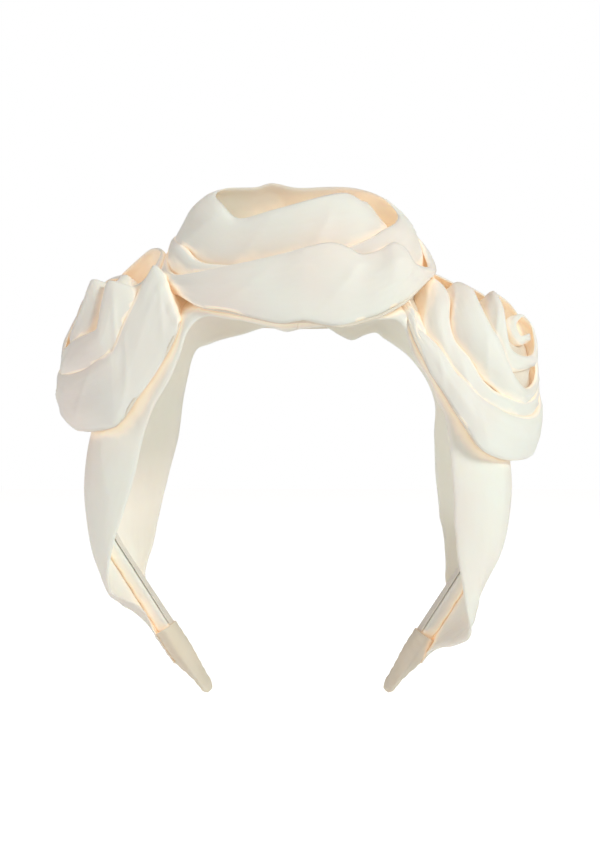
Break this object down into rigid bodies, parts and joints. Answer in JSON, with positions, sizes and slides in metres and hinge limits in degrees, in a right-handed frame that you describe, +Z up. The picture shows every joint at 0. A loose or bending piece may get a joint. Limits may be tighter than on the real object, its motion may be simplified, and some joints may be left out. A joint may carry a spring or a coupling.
{
  "type": "knotted headband",
  "caption": "Padded satin headband on a springy hoop, with a wide curled cover, coiled fabric knots over the crown and shoulders, and satin tip caps.",
  "frame": {"origin": "middle of the head side of the hoop's crown, on the ribbon lining", "axes": "+Z up as worn, from the head towards the middle knot; -Y towards the front; +X towards the arm at the right when seen from the front"},
  "size_m": [0.1685, 0.0792, 0.1753],
  "materials": {
    "plastic_core": "moulded, matte",
    "felt": "pressed felt",
    "satin": "heavy ivory satin, soft sheen",
    "ribbon": "fine ribbed ribbon",
    "cap_satin": "beige satin, soft sheen",
    "thread": "twisted sewing thread"
  },
  "bodies": {
    "crown": {"hoop_crown": "plastic_core", "felt_pad_crown": "felt", "satin_wrap_crown": "satin", "ribbon_lining_crown": "ribbon", "cover_crown": "satin", "middle_knot_backing": "felt", "middle_knot_outer_coil": "satin", "middle_knot_inner_coil": "satin", "middle_knot_bud": "satin", "middle_knot_stitches": "thread"},
    "left_arm": {"hoop_left_arm": "plastic_core", "felt_pad_left": "felt", "satin_wrap_left": "satin", "ribbon_lining_left": "ribbon", "cover_left": "satin", "tip_cap_left": "cap_satin", "left_knot_backing": "felt", "left_knot_outer_coil": "satin", "left_knot_inner_coil": "satin", "left_knot_bud": "satin", "left_knot_stitches": "thread"},
    "right_arm": {"hoop_right_arm": "plastic_core", "felt_pad_right": "felt", "satin_wrap_right": "satin", "ribbon_lining_right": "ribbon", "cover_right": "satin", "tip_cap_right": "cap_satin", "right_knot_backing": "felt", "right_knot_outer_coil": "satin", "right_knot_inner_coil": "satin", "right_knot_bud": "satin", "right_knot_stitches": "thread"}
  },
  "joints": [
    {"name": "left_arm_flex", "type": "hinge", "parent": "crown", "child": "left_arm", "pos_m": [-0.03433, 0, -0.00755], "axis": [0, 1, 0], "range_deg": [-4, 12], "stiffness_Nm_per_rad": 0.8},
    {"name": "right_arm_flex", "type": "hinge", "parent": "crown", "child": "right_arm", "pos_m": [0.03433, 0, -0.00755], "axis": [0, -1, 0], "range_deg": [-4, 12], "stiffness_Nm_per_rad": 0.8}
  ]
}
